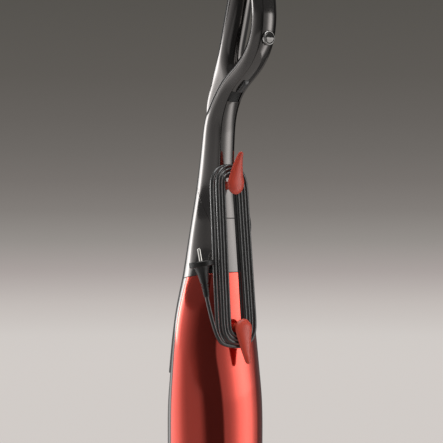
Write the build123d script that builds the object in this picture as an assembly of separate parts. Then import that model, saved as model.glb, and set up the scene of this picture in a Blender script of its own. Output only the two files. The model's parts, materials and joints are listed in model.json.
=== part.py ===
from build123d import *
from math import cos, sin, tan, radians, atan2, pi
import os

# Upright vacuum cleaner: floor head, tilting and swivelling neck, and a slim cleaner body
# with a loop handle.  Millimetres, +Z up, -Y is the front, +Y the rear with the cord hooks.
# The origin is on the floor, under the middle of the whole object.

os.makedirs("parts", exist_ok=True)

# ---- driving dimensions -------------------------------------------------------------
SKIN = 2.5              # wall of every moulded shell
SEAM = 0.4              # half of the gap between two shells
FIT = 0.06              # radial clearance of a turning fit

# Body form: height, half width, half depth, centre Y, rear panel Y
BODY = [
    (108, 30.0, 29.0, 28.0, 55.0),
    (125, 38.0, 36.0, 22.0, 56.5),
    (150, 50.0, 46.0, 13.0, 57.5),
    (185, 61.0, 56.0, 6.0, 60.0),
    (230, 68.0, 62.5, 2.0, 62.3),
    (290, 71.5, 65.5, 0.0, 63.0),
    (370, 72.2, 66.5, 0.0, 63.4),
    (430, 72.6, 64.0, 0.0, 61.0),
    (478, 70.3, 57.5, 0.0, 54.3),
    (502, 68.8, 54.0, 0.0, 50.6),
    (550, 63.0, 49.5, 0.0, 47.0),
    (580, 56.5, 47.3, 0.0, 45.3),
    (617, 45.8, 45.0, 0.0, 43.4),
    (655, 38.5, 40.0, 0.5, 39.5),
]
PANEL_R = 140           # radius of the rear panel across the body

# Handle form along its path: Y, Z, half width, half depth, backward lean in degrees
STEM = [
    (0.0, 580, 56.5, 47.3, 0),
    (0.0, 617, 45.8, 45.0, 0),
    (0.5, 655, 38.5, 40.0, 0),
    (2.5, 700, 32.5, 34.0, 1),
    (3.0, 735, 26.0, 31.0, 1),
    (4.5, 775, 20.8, 27.8, 2),
    (9.0, 818, 20.0, 24.5, 8),
    (15.0, 850, 20.0, 21.5, 20),
    (27.0, 875, 18.5, 18.0, 38),
    (46.0, 900, 17.5, 16.0, 50),
    (68.0, 917, 17.2, 15.2, 50),
    (89.0, 934.5, 17.2, 15.0, 42),
    (105.5, 960, 17.4, 14.5, 26),
    (112.5, 992, 17.3, 14.0, 4),
    (109.5, 1030, 17.3, 14.0, -6),
    (103.0, 1062, 17.0, 13.2, -15),
    (94.5, 1085, 16.5, 12.0, -40),
    (80.5, 1094, 16.0, 11.0, -88),
    (69.0, 1086, 15.5, 11.0, -140),
]
ARCH = [
    (11.0, 848, 15.0, 13.0, 8),
    (21.0, 904, 17.5, 16.0, 15),
    (35.0, 940, 17.5, 16.5, 18.5),
    (46.0, 976, 17.0, 16.0, 16.5),
    (60.0, 1030, 16.5, 15.5, 13),
    (66.5, 1062, 16.0, 13.5, 9),
    (70.0, 1088, 15.0, 11.0, 4),
]
GROOVE = (0.50, 0.78)   # groove between side and rear handle shells, parts of half depth
GROOVE_DEEP = 3.2

RED_TOP, RED_TOP_RISE = 616.0, 0.16     # red/grey seam: height at Y=0, rise per mm of Y
SPLIT_Z, SPLIT_FALL = 733.4, 1.67       # seam between neck and handle side shells
SPINE_SPLIT_Z = 703.0
SHELL_FOOT_Z = 150
SIDE_SEAM_Y, SIDE_SEAM_RISE = -15.0, 0.028   # red/dark seam: Y at height 365, rise per mm
TRIM_W = 9.5
CUP_Z = (196, 462)
CUP_BACK = 2 * SEAM + 0.2     # gap between the trims and the dust cup's back wall
INLET_Z, INLET_R = 432.0, 15.2
COVER_FOOT_Z = 473
PORT_Y, PORT_R = -42.0, 9.0     # air port from the cup up to the motor

# Cord hooks and the wound cord
CORD_D = 6.0
COIL_X, COIL_W, COIL_BAND, COIL_DEPTH = 4.5, 71.0, 23.0, 12.0
COIL_Z = (509.5, 787.0)
COIL_TOP_Y, COIL_FOOT_Y = 38.6, 56.1    # centre of the winding at its top and its foot
HOOK_TOP_Z, HOOK_LOW_Z = 752.0, 542.5
HOOK_TOP_V, HOOK_LOW_V = (0.0, 47.0), (-2.5, -54.5)   # round end and tip, up from the post
HOOK_R, HOOK_TIP_R, HOOK_PLATE, HOOK_FLARE = 15.0, 4.2, 5.5, 14.0
POST_R = 7.0

PLUG_TOP = Vector(59.5, 40.5, 640)
PLUG_FOOT = Vector(53, 46, 588)
TAIL = [
    (53, 46, 588), (51.6, 47.4, 574), (49.4, 50.0, 557), (46.0, 53.0, 541),
    (40.0, 55.0, 527), (31.8, 56.0, 518.0),
]
LEAD = [
    (-33.0, 27.0, 722), (-36.0, 32.5, 713), (-35.5, 38.0, 699), (-32.5, 42.5, 685),
    (-26.0, 45.2, 673),
]
GLAND_FOOT = Vector(-22.0, 9.0, 745)

# Floor head and neck
HEAD_W, HEAD_FRONT, HEAD_BACK_W, HEAD_REAR = 270.0, -125.5, 150.0, 72.0
HEAD_MID_Y = -14.0
SOLE_Z = 4.0
NECK_Y, NECK_Z = 32.0, 36.0
BARREL_R, BARREL_HALF, TUBE_R, COLLAR_R = 23.0, 30.0, 20.0, 25.0
NOTCH_HALF = 33.0
COLLAR_Z = (88.0, 106.0)
WHEEL_R, WHEEL_W, WHEEL_X, WHEEL_Y, AXLE_R = 22.0, 15.0, 84.5, 44.0, 4.0
MOUTH_HALF, MOUTH_Y = 104.0, (-99.0, -73.0)
BRUSH_Y, BRUSH_HALF, BRUSH_T = (-107.0, -65.0), 102.0, 5.0
PEDAL_X, PEDAL_Y, PEDAL_W, PEDAL_L = 70.0, -40.0, 40.0, 30.0

# Button on the grip
BUTTON_Z, BUTTON_R = 963.5, 8.0
DOOR_Z = (520.0, 584.0)

GREY = Color(0.32, 0.31, 0.31)
RED = Color(0.80, 0.12, 0.08)
DARK = Color(0.12, 0.12, 0.13)
STEEL = Color(0.75, 0.76, 0.78)
CLEAR = Color(0.55, 0.6, 0.65)
PALE = Color(0.85, 0.83, 0.78)

PARTS = {}


def save(name, shape, colour):
    """Keep one sub-part under its node name."""
    shape = shape if isinstance(shape, (Solid, Compound)) else Compound([shape])
    shape.color = colour
    PARTS[name] = shape


# ---- small helpers --------------------------------------------------------------------
def block(x0, x1, y0, y1, z0, z1):
    return Pos((x0 + x1) / 2, (y0 + y1) / 2, (z0 + z1) / 2) * Box(x1 - x0, y1 - y0, z1 - z0)


def rod(start, end, r):
    """Round bar from one point to another."""
    a, b = Vector(*start), Vector(*end)
    plane = Plane(origin=a, z_dir=(b - a).normalized())
    return extrude(plane * Circle(r), (b - a).length)


def ring(start, end, r_out, r_in):
    return rod(start, end, r_out) - rod(start, end, r_in)


def slab(points, half=160):
    """Region with the given outline in Y and Z, reaching `half` to each side."""
    face = Plane.YZ * make_face(Polyline(*points, close=True))
    return extrude(face, half, both=True)


def both_sides(shape):
    return shape + mirror(shape, Plane.YZ)


def arc_path(points):
    """Straight runs joined by tangent arcs as large as the two runs allow."""
    p = [Vector(*q) for q in points]
    radii = []
    for before, at, after in zip(p, p[1:], p[2:]):
        a, b = at - before, after - at
        half_turn = radians(a.get_angle(b)) / 2
        radii.append(0.45 * min(a.length, b.length) / tan(half_turn))
    print("arc radii", [round(r, 1) for r in radii])
    return FilletPolyline(*p, radius=radii)


def tube(points, r):
    path = arc_path(points)
    start = Plane(origin=path @ 0, z_dir=path % 0)
    solid = sweep(start * Circle(r), path)
    ideal = pi * r ** 2 * path.length
    print("tube length", round(path.length, 1), "volume ratio", round(solid.volume / ideal, 4))
    return solid


# ---- the outer forms ------------------------------------------------------------------
def body_form(inset=0.0):
    """Body without its handle: elliptical sections cut by the flatter rear panel."""
    sides = [
        (Plane(origin=(0, y, z)) * Ellipse(a - inset, b - inset)).face().outer_wire()
        for z, a, b, y, _ in BODY
    ]
    panel = [
        (Plane(origin=(0, rear - PANEL_R, z)) * Circle(PANEL_R - inset)).face().outer_wire()
        for z, _, _, _, rear in BODY
    ]
    return Solid.make_loft(sides) & Solid.make_loft(panel)


def path_plane(y, z, lean):
    t = radians(lean)
    return Plane(origin=(0, y, z), x_dir=(1, 0, 0), z_dir=(0, sin(t), cos(t)))


def path_form(sections, inset=0.0):
    rings = [
        (path_plane(y, z, lean) * Ellipse(a - inset, b - inset)).face().outer_wire()
        for y, z, a, b, lean in sections
    ]
    return Solid.make_loft(rings)


def offset_curve(part):
    """Points beside the stem's path, `part` of the half depth towards its rear."""
    points = []
    for y, z, _, b, lean in STEM:
        t = radians(lean)
        points.append((y + part * b * cos(t), z - part * b * sin(t)))
    return points


def side_seam_y(z):
    return SIDE_SEAM_Y + SIDE_SEAM_RISE * (z - 365)


BODY_SKIN = body_form() - body_form(SKIN)
BODY_INNER = body_form(SKIN + 0.3)
STEM_OUT = path_form(STEM)
STEM_SKIN = STEM_OUT - path_form(STEM, SKIN)

BELOW_SEAM = slab([(-200, 0), (200, 0), (200, RED_TOP + 200 * RED_TOP_RISE - SEAM),
                   (-200, RED_TOP - 200 * RED_TOP_RISE - SEAM)])
ABOVE_SEAM = slab([(-200, 1300), (200, 1300), (200, RED_TOP + 200 * RED_TOP_RISE + SEAM),
                   (-200, RED_TOP - 200 * RED_TOP_RISE + SEAM)])


def behind(part):
    """Everything to the rear of the offset curve, and never the front arch."""
    curve = offset_curve(part)
    edge = Plane.YZ * Spline(*curve[:-3])
    y0, z0 = curve[0]
    y1, z1 = curve[-4]
    rest = Plane.YZ * Polyline((y1, z1), (y1 - 8, z1 + 70), (260, z1 + 70), (260, z0), (y0, z0))
    return extrude(make_face(edge + rest), 160, both=True)


# ---- handle -----------------------------------------------------------------------------
def handle():
    rear_zone = behind(GROOVE[1])
    front_zone = STEM_OUT - behind(GROOVE[0])
    side = STEM_SKIN & front_zone & ABOVE_SEAM
    rear = STEM_SKIN & rear_zone & ABOVE_SEAM

    low_cut = slab([(-90, 500), (140, 500), (140, SPLIT_Z - 140 * SPLIT_FALL - SEAM),
                    (-90, SPLIT_Z + 90 * SPLIT_FALL - SEAM)])
    high_cut = slab([(-90, 1300), (140, 1300), (140, SPLIT_Z - 140 * SPLIT_FALL + SEAM),
                     (-90, SPLIT_Z + 90 * SPLIT_FALL + SEAM)])
    arch_out = path_form(ARCH)
    arch = arch_out - STEM_OUT - path_form(ARCH, SKIN)

    button = rod((0, 80, BUTTON_Z), (0, 140, BUTTON_Z), BUTTON_R + 2.6)
    save("handle_side_shell", side & high_cut, GREY)
    save("neck_shell", side & low_cut, GREY)
    save("handle_rear_shell", (rear & block(-90, 90, 0, 160, SPINE_SPLIT_Z + SEAM, 1300))
         - button, GREY)
    save("neck_spine", rear & block(-90, 90, 0, 160, 500, SPINE_SPLIT_Z - SEAM), GREY)
    save("handle_arch", arch, GREY)

    core = path_form(STEM, GROOVE_DEEP) - path_form(STEM, GROOVE_DEEP + 2.0)
    core = core & ABOVE_SEAM & block(-90, 90, -60, 160, 630, 1074)
    save("handle_core", core - button, DARK)


def power_button():
    """Round push button in a bezel on the rear of the grip, and the switch behind it."""
    face_y = 124.0
    bezel = ring((0, face_y - 6, BUTTON_Z), (0, face_y + 0.8, BUTTON_Z), BUTTON_R + 2.3,
                 BUTTON_R + 0.35)
    save("button_bezel", bezel, STEEL)
    cap = rod((0, face_y - 5.0, BUTTON_Z), (0, face_y - 0.4, BUTTON_Z), BUTTON_R)
    cap = fillet(cap.edges().group_by(Axis.Y)[-1], 0.8)
    stalk = rod((0, face_y - 9.0, BUTTON_Z), (0, face_y - 5.0, BUTTON_Z), 2.5)
    save("power_button", cap + stalk, STEEL)
    body = block(-6, 6, face_y - 20, face_y - 12.2, BUTTON_Z - 9, BUTTON_Z + 9)
    terminals = both_sides(block(2.8, 4.0, face_y - 23, face_y - 20, BUTTON_Z - 7, BUTTON_Z - 2))
    save("power_switch", body + terminals, DARK)


def grip_clip():
    """Small hook under the grip that a loop of cord can hang from."""
    side = slab([(53.5, 883.5), (57, 881.5), (76, 897), (78.5, 903), (77.5, 907), (56, 889)])
    save("grip_clip", (side & block(-5, 5, 40, 90, 860, 920)) - path_form(STEM, -0.1), DARK)


# ---- body shells ------------------------------------------------------------------------
def body_shells():
    z0, z1 = 90, 700
    rear = slab([(side_seam_y(z0) + SEAM, z0), (200, z0), (200, z1),
                 (side_seam_y(z1) + SEAM, z1)])
    trim = slab([(side_seam_y(z0) - TRIM_W, z0), (side_seam_y(z0) - SEAM, z0),
                 (side_seam_y(z1) - SEAM, z1), (side_seam_y(z1) - TRIM_W, z1)])
    front = front_of_trims(2 * SEAM, z0, z1)
    above_foot = block(-160, 160, -160, 160, SHELL_FOOT_Z + SEAM, 700)

    save("rear_shell", BODY_SKIN & rear & BELOW_SEAM & above_foot, RED)
    save("side_trims", BODY_SKIN & trim & BELOW_SEAM & above_foot, GREY)

    window = block(-24.6, 24.6, -90, 0, DOOR_Z[0] - 0.6, DOOR_Z[1] + 0.6)
    latch = block(-17.4, 17.4, -90, 0, 483.6, 500.4)
    cover = BODY_SKIN & front & BELOW_SEAM & block(-160, 160, -160, 160, COVER_FOOT_Z, 700)
    save("front_cover", cover - window - latch, DARK)
    save("front_foot_cover", BODY_SKIN & front & block(-160, 160, -160, 160,
                                                       SHELL_FOOT_Z + SEAM, CUP_Z[0] - 2), DARK)
    base = BODY_SKIN & block(-160, 160, -160, 160, 108, SHELL_FOOT_Z - SEAM)
    floor_plate = body_form(SKIN - 0.8) & block(-160, 160, -160, 160, 109, 112)
    save("base_cover", (base + floor_plate) - rod((0, NECK_Y, 100), (0, NECK_Y, 130), 15.1), DARK)


def exhaust():
    """Louvred door over the exhaust filter, hinged along its foot."""
    z0, z1 = DOOR_Z
    door = BODY_SKIN & block(-24, 24, -90, 0, z0, z1)
    for k in range(6):
        z = z0 + 14 + 7.5 * k
        door -= block(-18, 18, -90, 0, z, z + 3)
    save("exhaust_door", door, DARK)
    save("exhaust_filter", block(-22, 22, -40.0, -33.5, z0 + 6, z1 - 4), PALE)


# ---- dust container -------------------------------------------------------------------------
def front_of_trims(gap, z0, z1):
    """Region in front of the side trims, `gap` clear of them."""
    return slab([(-200, z0), (side_seam_y(z0) - TRIM_W - gap, z0),
                 (side_seam_y(z1) - TRIM_W - gap, z1), (-200, z1)])


def container():
    z0, z1 = CUP_Z
    inner = body_form(2.2) & front_of_trims(CUP_BACK + 2.2, z0 + 2.2, z1 + 5)
    port = rod((0, side_seam_y(INLET_Z) - 20, INLET_Z), (0, 0, INLET_Z), INLET_R)
    save("dust_cup", (body_form() & front_of_trims(CUP_BACK, z0, z1)) - inner - port, CLEAR)
    lid = body_form() & front_of_trims(CUP_BACK, z1 + 0.3, COVER_FOOT_Z - 0.8)
    rim = (body_form(2.6) - body_form(4.6)) & front_of_trims(CUP_BACK + 2.6, z1 - 4, z1 + 0.4)
    port = rod((0, PORT_Y, z1 - 20), (0, PORT_Y, 490), PORT_R)
    save("cup_lid", (lid + rim) - port, DARK)
    seal = (body_form(4.9) - body_form(6.9)) & front_of_trims(CUP_BACK + 5.2, z1 - 3, z1)
    save("cup_seal", seal, DARK)
    frame = block(-27, 27, -48, -34, z1 - 14, z1 - 0.2) - block(-24, 24, -45, -37, z1 - 20, z1 + 1)
    foot = block(-27, 27, -48, -34, z1 - 104, z1 - 101)
    posts = both_sides(block(24, 27, -48, -46, z1 - 101, z1 - 14)
                       + block(24, 27, -36, -34, z1 - 101, z1 - 14))
    save("filter_frame", frame + foot + posts, DARK)
    pleats = block(-23.5, 23.5, -45.5, -36.5, z1 - 101, z1 - 14.2)
    for k in range(7):
        x = -19.5 + 6.5 * k
        pleats -= block(x - 1.1, x + 1.1, -47, -43, z1 - 110, z1)
        pleats -= block(x - 1.1, x + 1.1, -39, -36, z1 - 110, z1)
    save("filter_pleats", pleats, PALE)


def release_button():
    """Push button that lets the dust container go."""
    slabs = block(-17, 17, -90, -20, 484, 500)
    shell = (body_form(-0.6) - body_form(2.4)) & slabs
    stem = block(-4, 4, -56, -49, 489, 495)
    save("release_button", shell + stem, STEEL)


# ---- inside the body ------------------------------------------------------------------------
def chassis():
    wall = BODY_INNER & block(-160, 160, -21.5, -18.5, 113, 470)
    wall -= rod((0, -40, INLET_Z), (0, 0, INLET_Z), INLET_R)
    for z in (170, 250, 330):
        wall -= both_sides(block(18, 44, -40, 0, z, z + 40))
    save("chassis_wall", wall, DARK)
    plate = BODY_INNER & block(-160, 160, -160, 160, COVER_FOOT_Z + 0.5, COVER_FOOT_Z + 3.5)
    plate -= rod((0, -2, 460), (0, -2, 480), 20)
    plate -= rod((0, PORT_Y, 460), (0, PORT_Y, 480), PORT_R)
    save("motor_platform", plate, DARK)


def suction_pipe():
    end_y = side_seam_y(INLET_Z) - TRIM_W - CUP_BACK + 0.5
    bend = FilletPolyline((0, NECK_Y, 96), (0, NECK_Y, INLET_Z), (0, end_y, INLET_Z), radius=26)
    start = Plane(origin=bend @ 0, z_dir=bend % 0)
    pipe = sweep(start * Circle(14.8), bend) - sweep(start * Circle(13.0), bend)
    save("suction_pipe", pipe, DARK)


def motor():
    z0 = COVER_FOOT_Z + 3.7
    y = -2
    fan = ring((0, y, z0 + 4), (0, y, z0 + 26), 42, 40) \
        + ring((0, y, z0 + 4), (0, y, z0 + 6), 42, 16)
    can = rod((0, y, z0 + 26.2), (0, y, z0 + 74), 31)
    can -= rod((0, y, z0 + 20), (0, y, z0 + 71), 28.5)
    can -= both_sides(block(20, 40, y - 7, y + 7, z0 + 40, z0 + 62))
    can -= rod((0, y, z0 + 70), (0, y, z0 + 75), 3.5)
    top = ring((0, y, z0 + 74), (0, y, z0 + 80), 12, 3.5)
    save("fan_housing", fan, STEEL)
    save("motor_can", can + top, STEEL)
    wheel = rod((0, y, z0 + 9), (0, y, z0 + 11), 36) + rod((0, y, z0 + 20), (0, y, z0 + 22), 36)
    wheel -= rod((0, y, z0), (0, y, z0 + 12), 12)
    for k in range(9):
        wheel += Pos(0, y, z0 + 15.5) * Rot(0, 0, 40 * k) * Pos(24, 0, 0) * Rot(0, 0, 35) \
            * Box(22, 1.5, 10)
    wheel += rod((0, y, z0 + 14), (0, y, z0 + 22), 7)
    wheel -= rod((0, y, z0 + 5), (0, y, z0 + 30), 3.0 + FIT)
    save("fan_wheel", wheel, STEEL)
    shaft = rod((0, y, z0 + 12.5), (0, y, z0 + 79), 3.0)
    stack = rod((0, y, z0 + 34), (0, y, z0 + 64), 17)
    save("motor_rotor", shaft + stack, STEEL)
    save("motor_mounts", Compound([ring((0, y, z0), (0, y, z0 + 3.9), 40, 21),
                                   ring((0, y, z0 + 74.2), (0, y, z0 + 79), 22, 12.1)]), DARK)


def electrics():
    save("control_board", block(-16, 16, 13, 14.6, 640, 672), Color(0.1, 0.35, 0.15))
    wire = tube([(5, 16, 672.5), (6, 17, 720), (4, 13, 770), (3, 14, 815), (2, 24, 852),
                 (0, 48, 893), (0, 80, 920), (0, 98, 952), (0, 100, 963.5)], 1.6)
    save("switch_wire", wire, DARK)


def fasteners():
    """Screws that hold the chassis wall."""
    group = []
    for x, z in ((16, 158), (22, 172), (24, 186)):
        for side in (-1, 1):
            head = rod((side * x, -24.2, z), (side * x, -21.7, z), 3.4)
            group.append(head - block(side * x - 3, side * x + 3, -25, -23.2, z - 0.5, z + 0.5))
    save("chassis_screws", Compound(group), STEEL)


# ---- hooks, cord and plug ---------------------------------------------------------------------
COIL_LEAN = atan2(COIL_FOOT_Y - COIL_TOP_Y, COIL_Z[1] - COIL_Z[0])
OUT = Vector(0, cos(COIL_LEAN), sin(COIL_LEAN))         # straight off the winding's face
UP = Vector(0, -sin(COIL_LEAN), cos(COIL_LEAN))


def coil_y(z):
    along = (z - COIL_Z[0]) / (COIL_Z[1] - COIL_Z[0])
    return COIL_FOOT_Y + (COIL_TOP_Y - COIL_FOOT_Y) * along


def on_coil(x, z, out=0.0):
    """A point in the winding's middle plane, or `out` in front of it."""
    p = Vector(x, coil_y(z), z) + OUT * out
    return (p.X, p.Y, p.Z)


def hook(z, lobe_v, tip_v):
    """Teardrop plate, round end at `lobe_v` and tip at `tip_v` up from its post; the tip flares."""
    centre = Vector(*on_coil(0, z, COIL_DEPTH / 2 + 0.5))
    plane = Plane(origin=centre, x_dir=(-1, 0, 0), z_dir=OUT)
    way = 1 if tip_v > lobe_v else -1
    lobe = Pos(0, lobe_v) * Circle(HOOK_R)
    tip = Pos(0, tip_v - way * HOOK_TIP_R) * Circle(HOOK_TIP_R)
    blank = extrude(plane * make_hull(lobe.edges() + tip.edges()), 40)
    start, end = lobe_v - way * (HOOK_R + 4), tip_v + way * 4
    bend = [(start + t * (end - start), HOOK_FLARE * t ** 2.2) for t in (0, 0.25, 0.5, 0.75, 1)]
    thick = HOOK_PLATE
    side_plane = Plane(origin=centre, x_dir=UP, z_dir=(-1, 0, 0))
    inner = Spline(*bend)
    outer = Spline(*[(v, w + thick) for v, w in bend])
    ends = Line(inner @ 0, outer @ 0) + Line(inner @ 1, outer @ 1)
    strip = extrude(side_plane * make_face(inner + outer + ends), 30, both=True)
    return blank & strip, plane


def hooks():
    top, top_plane = hook(HOOK_TOP_Z, *HOOK_TOP_V)
    post = extrude(top_plane.offset(4) * Circle(POST_R), -(COIL_DEPTH + 5.7))
    save("cord_hook_top", top + post, RED)
    low, low_plane = hook(HOOK_LOW_Z, *HOOK_LOW_V)
    foot = extrude(low_plane.offset(4) * Circle(POST_R), -(COIL_DEPTH + 12))
    save("cord_hook_low", low + (foot - body_form(-0.05)), RED)


def winding():
    """The wound cord as one closed ring of its outer shape."""
    height = (COIL_Z[1] - COIL_Z[0]) / cos(COIL_LEAN)
    mid = Vector(*on_coil(COIL_X, (COIL_Z[0] + COIL_Z[1]) / 2))
    plane = Plane(origin=mid, x_dir=(1, 0, 0), z_dir=OUT)
    outer = SlotOverall(height, COIL_W, rotation=90)
    inner = SlotOverall(height - 2 * COIL_BAND, COIL_W - 2 * COIL_BAND, rotation=90)
    band = extrude(plane * (outer - inner), COIL_DEPTH / 2, both=True)
    save("cord_coil", band, DARK)


def cord_ends():
    save("cord_tail", tube(TAIL, CORD_D / 2), DARK)
    save("cord_lead", tube(LEAD, CORD_D / 2), DARK)
    a, b = GLAND_FOOT, Vector(*LEAD[0])
    plane = Plane(origin=a, z_dir=(b - a).normalized())
    far = plane.offset((b - a).length)
    relief = Solid.make_loft([(plane * Circle(7)).face().outer_wire(),
                              (far * Circle(4.2)).face().outer_wire()])
    save("cord_gland", relief - path_form(STEM, -0.05), DARK)


def plug():
    axis = (PLUG_TOP - PLUG_FOOT).normalized()
    across = Vector(0.643, 0.766, 0)
    across = (across - axis * across.dot(axis)).normalized()
    at = Plane(origin=PLUG_TOP, x_dir=across, z_dir=axis)
    flange = extrude(at * Circle(18), -8)
    flange = fillet(flange.edges(), 1.5)
    length = (PLUG_TOP - PLUG_FOOT).length
    sections = [(-7.5, 14.5, 12), (-16, 11, 9), (-30, 7.5, 6.5)]
    body = Solid.make_loft([(at.offset(z) * Ellipse(a, b)).face().outer_wire()
                            for z, a, b in sections])
    save("plug_body", flange + body, DARK)
    relief = Solid.make_loft([(at.offset(-30.0) * Circle(6.0)).face().outer_wire(),
                              (at.offset(-length) * Circle(4.2)).face().outer_wire()])
    for k in range(5):
        z = -33.0 - 4.0 * k
        relief -= extrude(at.offset(z) * (Circle(8) - Circle(3.9)), -1.6)
    save("plug_relief", relief, DARK)
    pins = []
    for side in (-9.5, 9.5):
        pin = extrude(at * Pos(side, 0) * Circle(2.4), 19)
        pins.append(fillet(pin.edges().sort_by(lambda e: (e.center() - PLUG_TOP).dot(axis))[-1],
                           1.2))
    save("plug_pins", Compound(pins), STEEL)


# ---- neck --------------------------------------------------------------------------------------
def neck():
    barrel = rod((-BARREL_HALF, NECK_Y, NECK_Z), (BARREL_HALF, NECK_Y, NECK_Z), BARREL_R)
    barrel -= rod((-BARREL_HALF + 3, NECK_Y, NECK_Z), (BARREL_HALF - 3, NECK_Y, NECK_Z),
                  BARREL_R - 3)
    tube_out = rod((0, NECK_Y, NECK_Z + 14), (0, NECK_Y, COLLAR_Z[0]), TUBE_R)
    bore = rod((0, NECK_Y, NECK_Z + 12), (0, NECK_Y, COLLAR_Z[1] + 1), 16.5)
    collar = rod((0, NECK_Y, COLLAR_Z[0]), (0, NECK_Y, COLLAR_Z[1]), COLLAR_R)
    inlet = block(-15, 15, NECK_Y - 40, NECK_Y - 10, NECK_Z - 12, NECK_Z + 4)
    save("neck_tube", ((barrel + tube_out) - bore) - inlet, DARK)
    save("neck_collar", collar - rod((0, NECK_Y, 80), (0, NECK_Y, 110), 16.5), GREY)
    pins = both_sides(rod((BARREL_HALF + 0.0, NECK_Y, NECK_Z), (BARREL_HALF + 14, NECK_Y, NECK_Z),
                          8.0))
    save("neck_pivots", pins, STEEL)


# ---- floor head ----------------------------------------------------------------------------------
def head_outline(grow=0.0):
    depth = HEAD_MID_Y - HEAD_FRONT
    front = Pos(0, (HEAD_MID_Y + HEAD_FRONT) / 2) * RectangleRounded(
        HEAD_W + 2 * grow, depth + 2 * grow, 30 + grow)
    back_depth = HEAD_REAR - HEAD_MID_Y + 30
    back = Pos(0, HEAD_REAR - back_depth / 2) * RectangleRounded(
        HEAD_BACK_W + 2 * grow, back_depth + 2 * grow, 18 + grow)
    notch = Pos(0, 54 - grow / 2) * Rectangle(2 * NOTCH_HALF - 2 * grow, 100)
    return (front + back) - notch


def head_form(grow, z0, z1):
    """Floor head's outer form: straight foot, tapered top that slopes to the front."""
    low = extrude(Plane.XY.offset(z0) * head_outline(grow), 17 - z0)
    top = extrude(Plane.XY.offset(17) * head_outline(grow), z1 - 17, taper=14)
    slope = slab([(-300, 0), (300, 0), (300, 54 + grow), (-5, 54 + grow), (-70, 44 + grow),
                  (-126, 30 + grow), (-300, -10 + grow)], 200)
    return (low + top) & slope


def floor_head():
    outer = head_form(0, SOLE_Z + 2.8, 54)
    inner = head_form(-SKIN, -5, 54) & block(-200, 200, -200, 200, -5, 200)
    shell = outer - inner
    arms = both_sides(block(NOTCH_HALF, NOTCH_HALF + 4, 8, HEAD_REAR - 16, 8, 58)) \
        & head_form(0, SOLE_Z + 2.8, 54)
    pivot_hole = rod((-60, NECK_Y, NECK_Z), (60, NECK_Y, NECK_Z), 8.0 + FIT)
    mouth = rod((-NOTCH_HALF, NECK_Y, NECK_Z), (NOTCH_HALF, NECK_Y, NECK_Z), BARREL_R + 1.2)
    x0, x1 = PEDAL_X - PEDAL_W / 2 - 0.8, PEDAL_X + PEDAL_W / 2 + 0.8
    well = block(x0, x1, PEDAL_Y - PEDAL_L / 2 - 0.8, PEDAL_Y + PEDAL_L / 2 + 0.8, 20, 80)
    axle_hole = rod((-90, WHEEL_Y, WHEEL_R), (90, WHEEL_Y, WHEEL_R), AXLE_R + FIT)
    inlet = block(-15, 15, -20, NECK_Y - 8, NECK_Z - 13, NECK_Z + 5)
    save("head_shell", (shell + arms) - pivot_hole - mouth - well - axle_hole - inlet, DARK)

    sole = extrude(Plane.XY.offset(SOLE_Z) * head_outline(-0.3), 2.6)
    sole -= block(-MOUTH_HALF, MOUTH_HALF, MOUTH_Y[0], MOUTH_Y[1], 0, 20)
    for y in BRUSH_Y:
        sole -= block(-BRUSH_HALF - 1, BRUSH_HALF + 1, y - BRUSH_T / 2 - 0.6,
                      y + BRUSH_T / 2 + 0.6, 0, 20)
    save("sole_plate", sole, DARK)
    band = extrude(Plane.XY.offset(9) * (head_outline(3.0) - head_outline(0.05)), 7) \
        & block(-200, 200, -200, -40, 0, 30)
    save("bumper", band, DARK)

    glides = both_sides(block(108, 124, -104, -70, 0, SOLE_Z - 0.05)) \
        + block(-26, 26, -36, -24, 0, SOLE_Z - 0.05)
    save("glides", glides, PALE)
    chamber = block(-MOUTH_HALF - 3, MOUTH_HALF + 3, MOUTH_Y[0] - 1.5, MOUTH_Y[1] + 1.5, 6.8, 26) \
        - block(-MOUTH_HALF, MOUTH_HALF, MOUTH_Y[0], MOUTH_Y[1], 0, 24)
    duct = block(-17, 17, MOUTH_Y[1] + 1.5, 5, 8, 32) - block(-15, 15, MOUTH_Y[1] - 4, 6, 10, 30)
    chamber -= block(-15, 15, MOUTH_Y[1] - 4, MOUTH_Y[1] + 4, 10, 24)
    save("suction_chamber", chamber + duct, DARK)


def wheels():
    axles = []
    for name, side in (("left", -1), ("right", 1)):
        x0 = side * (WHEEL_X - WHEEL_W / 2)
        x1 = side * (WHEEL_X + WHEEL_W / 2)
        lo, hi = min(x0, x1), max(x0, x1)
        tyre = ring((lo, WHEEL_Y, WHEEL_R), (hi, WHEEL_Y, WHEEL_R), WHEEL_R, WHEEL_R - 4)
        tyre = fillet(tyre.edges().filter_by(GeomType.CIRCLE).sort_by(SortBy.RADIUS)[-2:], 2)
        hub = ring((lo + 1, WHEEL_Y, WHEEL_R), (hi - 1, WHEEL_Y, WHEEL_R), WHEEL_R - 4,
                   AXLE_R + FIT)
        save(f"tyre_{name}", tyre, DARK)
        save(f"hub_{name}", hub, GREY)
        shaft = rod((side * 60, WHEEL_Y, WHEEL_R), (side * (WHEEL_X + WHEEL_W / 2 + 0.5),
                                                   WHEEL_Y, WHEEL_R), AXLE_R)
        cap = rod((side * (WHEEL_X + WHEEL_W / 2 + 0.5), WHEEL_Y, WHEEL_R),
                  (side * (WHEEL_X + WHEEL_W / 2 + 2.5), WHEEL_Y, WHEEL_R), 7.5)
        axles.append(shaft + cap)
    save("wheel_axles", Compound(axles), STEEL)


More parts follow.
